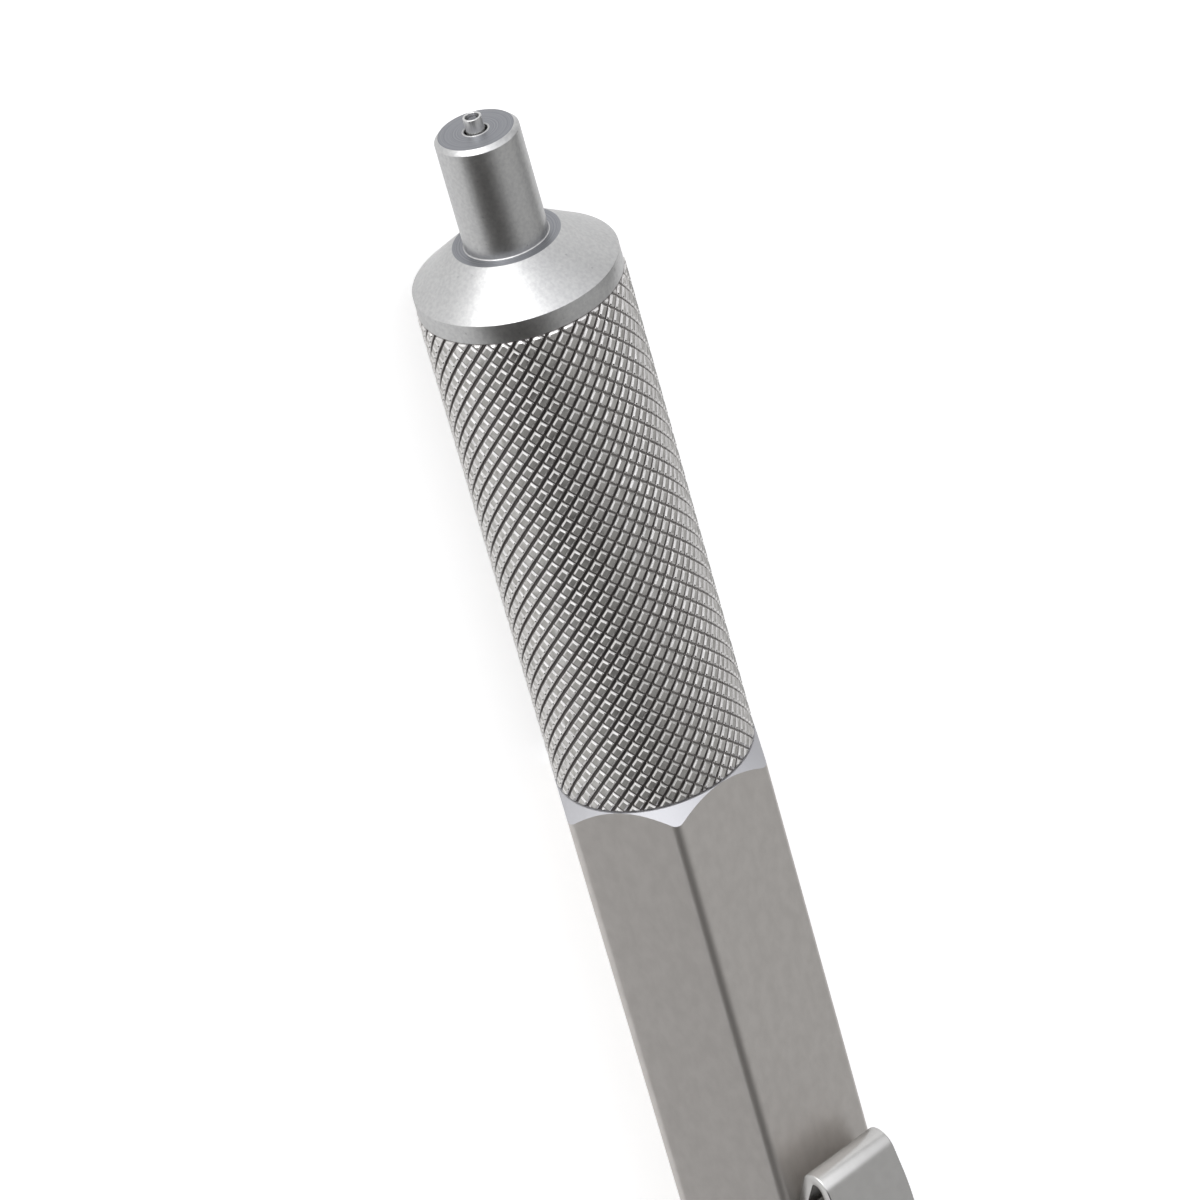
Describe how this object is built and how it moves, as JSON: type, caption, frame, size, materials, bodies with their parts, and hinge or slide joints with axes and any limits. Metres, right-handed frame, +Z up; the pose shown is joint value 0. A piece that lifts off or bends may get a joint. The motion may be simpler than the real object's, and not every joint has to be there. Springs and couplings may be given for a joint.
{
  "type": "drafting pencil",
  "caption": "All-metal twist-retract drafting pencil: knurled round grip, hexagonal barrel, spring clip, twist knob and push button over a sliding lead mechanism.",
  "frame": {"origin": "centre of the bounding box's lower face: on the flat that the pencil lies on, at half its length", "axes": "+X along the pencil from its tip to its button, +Z up through the flat that carries the clip, +Y across"},
  "size_m": [0.1382, 0.0102, 0.0122],
  "materials": {
    "satin_chrome": "blasted and satin chromed brass",
    "barrel_chrome": "satin chromed brass",
    "clip_steel": "satin chromed spring steel",
    "stainless": "drawn stainless tube",
    "brass": "turned",
    "spring_steel": "drawn wire",
    "aluminium_tube": "drawn tube",
    "rubber": "moulded",
    "black_plastic": "moulded acetal",
    "graphite": "polymer lead",
    "eraser_white": "vinyl eraser"
  },
  "bodies": {
    "barrel": {"nose_cone": "satin_chrome", "knurled_grip": "satin_chrome", "hex_barrel": "barrel_chrome", "guide_bush": "brass", "clip_collar": "satin_chrome"},
    "knob": {"twist_knob": "satin_chrome", "cam_sleeve": "brass"},
    "cartridge": {"lead_sleeve": "stainless", "sleeve_holder": "brass", "lead_retainer": "rubber", "mechanism_housing": "aluminium_tube", "return_spring": "spring_steel", "carrier_tube": "aluminium_tube", "guide_pin": "stainless"},
    "button": {"lead_tube": "aluminium_tube", "spare_leads": "graphite", "chuck_coupler": "black_plastic", "chuck": "brass"},
    "ring": {"clutch_ring": "brass"},
    "lead": {"writing_lead": "graphite"},
    "eraser_unit": {"eraser_ferrule": "stainless", "eraser": "eraser_white", "cleaning_pin": "stainless"},
    "cap": {"push_cap": "satin_chrome"},
    "clip": {"clip": "clip_steel"}
  },
  "joints": [
    {"name": "knob_turn", "type": "hinge", "parent": "barrel", "child": "knob", "pos_m": [0.05, 0, 0.0045], "axis": [1, 0, 0], "range_deg": [-41.38, 138.63]},
    {"name": "tip_slide", "type": "slide", "parent": "barrel", "child": "cartridge", "axis": [-1, 0, 0], "range_m": [-0.001, 0.00335]},
    {"name": "button_press", "type": "slide", "parent": "cartridge", "child": "button", "axis": [-1, 0, 0], "range_m": [0, 0.003], "stiffness_N_per_m": 900, "springref_m": -0.002, "deforming": ["return_spring"]},
    {"name": "ring_slide", "type": "slide", "parent": "cartridge", "child": "ring", "axis": [-1, 0, 0], "range_m": [0, 0.0008]},
    {"name": "lead_feed", "type": "slide", "parent": "cartridge", "child": "lead", "axis": [-1, 0, 0], "range_m": [0, 0.003]},
    {"name": "eraser_pull", "type": "slide", "parent": "button", "child": "eraser_unit", "axis": [1, 0, 0], "range_m": [0, 0.018]},
    {"name": "cap_pull", "type": "slide", "parent": "eraser_unit", "child": "cap", "axis": [1, 0, 0], "range_m": [0, 0.014]},
    {"name": "clip_lift", "type": "hinge", "parent": "barrel", "child": "clip", "pos_m": [0.04408, 0, 0.009], "axis": [0, 1, 0], "range_deg": [0, 2.5], "stiffness_Nm_per_rad": 3, "springref_deg": -1.15}
  ],
  "couplings": [
    {"joint": "knob_turn", "follows": "tip_slide", "rad_per_m": 722.21},
    {"joint": "ring_slide", "follows": "button_press", "ratio": 0.2666}
  ]
}
